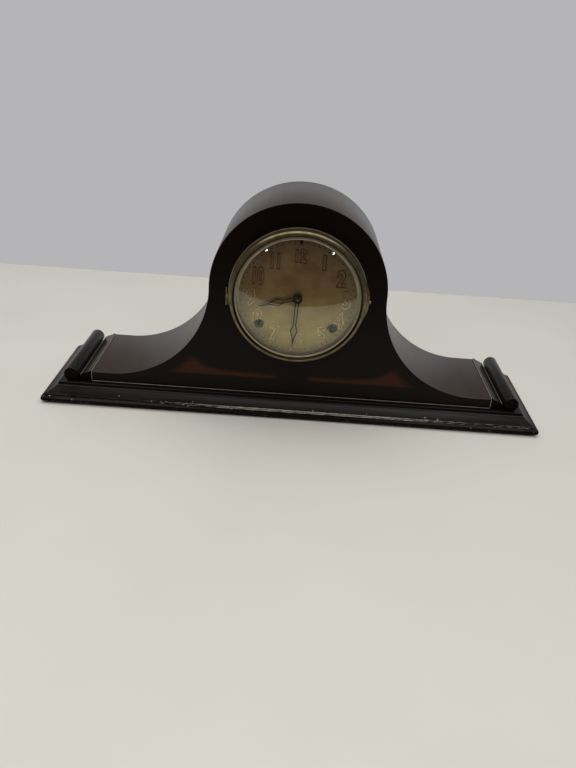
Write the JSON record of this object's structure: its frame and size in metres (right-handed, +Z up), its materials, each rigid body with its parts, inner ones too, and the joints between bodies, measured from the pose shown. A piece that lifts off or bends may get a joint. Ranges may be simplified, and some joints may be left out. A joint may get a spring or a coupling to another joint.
{
  "type": "tambour mantel clock",
  "caption": "Humpback mantel clock with a glossy dark wood case on a moulded base, gilt dial behind a hinged brass bezel, striking spring movement",
  "frame": {"origin": "middle of the underside of the base, on the surface it stands on", "axes": "+X to the right as seen from the front, +Y to the back, +Z up"},
  "size_m": [0.568, 0.138, 0.2407],
  "materials": {
    "lacquered_wood": "dark walnut lacquer, glossy and worn",
    "stained_board": "dark stained board",
    "raw_pine": "raw pine",
    "steel": "plain steel",
    "aged_brass": "aged brass",
    "gilt_dial": "tarnished gilt, satin",
    "glass": "clear convex glass",
    "black_steel": "blackened steel",
    "movement_brass": "sheet brass",
    "cast_iron": "black painted iron"
  },
  "bodies": {
    "case": {"base_plinth": "lacquered_wood", "top_wrap": "lacquered_wood", "front_board": "lacquered_wood", "back_board": "lacquered_wood", "end_moulding_left": "lacquered_wood", "end_moulding_right": "lacquered_wood", "end_roll_left": "lacquered_wood", "end_roll_right": "lacquered_wood", "glue_blocks": "raw_pine", "base_screws": "steel", "door_hinges": "aged_brass", "dial_pan": "aged_brass", "dial_screws": "aged_brass", "dial_plate": "gilt_dial", "bezel_hinge": "aged_brass", "front_plate": "movement_brass", "back_plate": "movement_brass", "plate_pillars": "movement_brass", "pillar_nuts": "movement_brass", "movement_posts": "steel", "time_mainspring": "steel", "strike_mainspring": "steel", "suspension_cock": "movement_brass", "gong": "steel", "gong_block": "cast_iron"},
    "bezel": {"bezel_ring": "aged_brass", "bezel_glass": "glass", "glass_retainer": "aged_brass", "bezel_hinge_arm": "aged_brass", "bezel_pull": "aged_brass"},
    "door": {"back_door": "stained_board", "door_hinge_leaves": "aged_brass", "door_knob": "aged_brass"},
    "minute_work": {"minute_hand": "black_steel", "hand_nut": "aged_brass", "cannon_pinion": "movement_brass"},
    "hour_work": {"hour_hand": "black_steel", "hour_wheel": "movement_brass"},
    "minute_wheel": {"minute_wheel": "movement_brass"},
    "time_great": {"time_great_wheel": "movement_brass"},
    "time_winder": {"time_winding_arbor": "steel"},
    "time_click": {"time_click": "steel"},
    "second": {"second_wheel": "movement_brass"},
    "centre": {"centre_wheel": "movement_brass"},
    "third": {"third_wheel": "movement_brass"},
    "escape": {"escape_wheel": "movement_brass"},
    "verge": {"verge": "steel"},
    "pendulum": {"suspension_spring": "steel", "pendulum_rod": "movement_brass", "pendulum_bob": "movement_brass"},
    "regulator": {"regulator_arbor": "steel"},
    "strike_great": {"strike_great_wheel": "movement_brass", "count_wheel": "movement_brass"},
    "strike_winder": {"strike_winding_arbor": "steel"},
    "strike_click": {"strike_click": "steel"},
    "strike_second": {"strike_second_wheel": "movement_brass"},
    "pin_wheel": {"pin_wheel": "movement_brass"},
    "fly": {"fly": "movement_brass"},
    "strike_lever": {"strike_lever": "movement_brass"},
    "hammer": {"hammer": "movement_brass"}
  },
  "joints": [
    {"name": "bezel_hinge", "type": "hinge", "parent": "case", "child": "bezel", "pos_m": [-0.0764, -0.0482, 0.137], "axis": [0, 0, -1], "range_deg": [0, 115]},
    {"name": "back_door_hinge", "type": "hinge", "parent": "case", "child": "door", "pos_m": [0.06175, 0.0656, 0.0935], "axis": [0, 0, -1], "range_deg": [0, 105]},
    {"name": "minute_hand_turn", "type": "hinge", "parent": "case", "child": "minute_work", "pos_m": [0, 0, 0.1405], "axis": [0, 1, 0], "continuous": true},
    {"name": "hour_hand_turn", "type": "hinge", "parent": "case", "child": "hour_work", "pos_m": [0, 0, 0.1405], "axis": [0, 1, 0], "continuous": true},
    {"name": "minute_wheel_turn", "type": "hinge", "parent": "case", "child": "minute_wheel", "pos_m": [-0.00313, 0, 0.15823], "axis": [0, 1, 0], "continuous": true},
    {"name": "third_wheel_turn", "type": "hinge", "parent": "case", "child": "third", "pos_m": [0.01414, 0, 0.15735], "axis": [0, 1, 0], "continuous": true},
    {"name": "centre_wheel_turn", "type": "hinge", "parent": "case", "child": "centre", "pos_m": [0, 0, 0.1405], "axis": [0, 1, 0], "continuous": true},
    {"name": "second_wheel_turn", "type": "hinge", "parent": "case", "child": "second", "pos_m": [0.01314, 0, 0.11807], "axis": [0, 1, 0], "continuous": true},
    {"name": "time_great_wheel_turn", "type": "hinge", "parent": "case", "child": "time_great", "pos_m": [0.0402, 0, 0.1082], "axis": [0, 1, 0], "continuous": true},
    {"name": "escape_wheel_turn", "type": "hinge", "parent": "case", "child": "escape", "pos_m": [0.00002, 0, 0.17218], "axis": [0, 1, 0], "continuous": true},
    {"name": "time_winding", "type": "hinge", "parent": "case", "child": "time_winder", "pos_m": [0.0402, 0, 0.1082], "axis": [0, 1, 0], "continuous": true},
    {"name": "time_click_lift", "type": "hinge", "parent": "time_great", "child": "time_click", "pos_m": [0.0402, 0, 0.1232], "axis": [0, 1, 0], "range_deg": [0, 12]},
    {"name": "pendulum_swing", "type": "hinge", "parent": "case", "child": "pendulum", "pos_m": [0.00002, 0.028, 0.19118], "axis": [0, 1, 0], "range_deg": [-4, 4]},
    {"name": "verge_rock", "type": "hinge", "parent": "case", "child": "verge", "pos_m": [0.00002, 0, 0.19118], "axis": [0, 1, 0], "range_deg": [-4, 4]},
    {"name": "regulator_turn", "type": "hinge", "parent": "case", "child": "regulator", "pos_m": [0, 0, 0.2015], "axis": [0, 1, 0], "range_deg": [-180, 180]},
    {"name": "pin_wheel_turn", "type": "hinge", "parent": "case", "child": "pin_wheel", "pos_m": [-0.03836, 0, 0.15535], "axis": [0, 1, 0], "continuous": true},
    {"name": "fly_turn", "type": "hinge", "parent": "case", "child": "fly", "pos_m": [-0.02611, 0, 0.1676], "axis": [0, 1, 0], "continuous": true},
    {"name": "strike_second_wheel_turn", "type": "hinge", "parent": "case", "child": "strike_second", "pos_m": [-0.0452, 0, 0.13656], "axis": [0, 1, 0], "continuous": true},
    {"name": "strike_great_wheel_turn", "type": "hinge", "parent": "case", "child": "strike_great", "pos_m": [-0.0402, 0, 0.1082], "axis": [0, 1, 0], "continuous": true},
    {"name": "strike_winding", "type": "hinge", "parent": "case", "child": "strike_winder", "pos_m": [-0.0402, 0, 0.1082], "axis": [0, 1, 0], "continuous": true},
    {"name": "strike_click_lift", "type": "hinge", "parent": "strike_great", "child": "strike_click", "pos_m": [-0.0402, 0, 0.1232], "axis": [0, -1, 0], "range_deg": [0, 12]},
    {"name": "strike_lever_lift", "type": "hinge", "parent": "case", "child": "strike_lever", "pos_m": [-0.01, 0, 0.1025], "axis": [0, 1, 0], "range_deg": [0, 10]},
    {"name": "hammer_lift", "type": "hinge", "parent": "case", "child": "hammer", "pos_m": [-0.063, 0, 0.1545], "axis": [0, 1, 0], "range_deg": [0, 12], "stiffness_Nm_per_rad": 0.02, "springref_deg": -14.32}
  ],
  "couplings": [
    {"joint": "minute_wheel_turn", "follows": "minute_hand_turn", "ratio": -0.33333},
    {"joint": "hour_hand_turn", "follows": "minute_hand_turn", "ratio": 0.083333},
    {"joint": "centre_wheel_turn", "follows": "third_wheel_turn", "ratio": -0.1},
    {"joint": "second_wheel_turn", "follows": "third_wheel_turn", "ratio": 0.066667},
    {"joint": "time_great_wheel_turn", "follows": "third_wheel_turn", "ratio": -0.0083333},
    {"joint": "escape_wheel_turn", "follows": "third_wheel_turn", "ratio": -12},
    {"joint": "fly_turn", "follows": "pin_wheel_turn", "ratio": -10},
    {"joint": "strike_second_wheel_turn", "follows": "pin_wheel_turn", "ratio": -0.11111},
    {"joint": "strike_great_wheel_turn", "follows": "pin_wheel_turn", "ratio": 0.013889},
    {"joint": "verge_rock", "follows": "pendulum_swing", "ratio": 1}
  ]
}
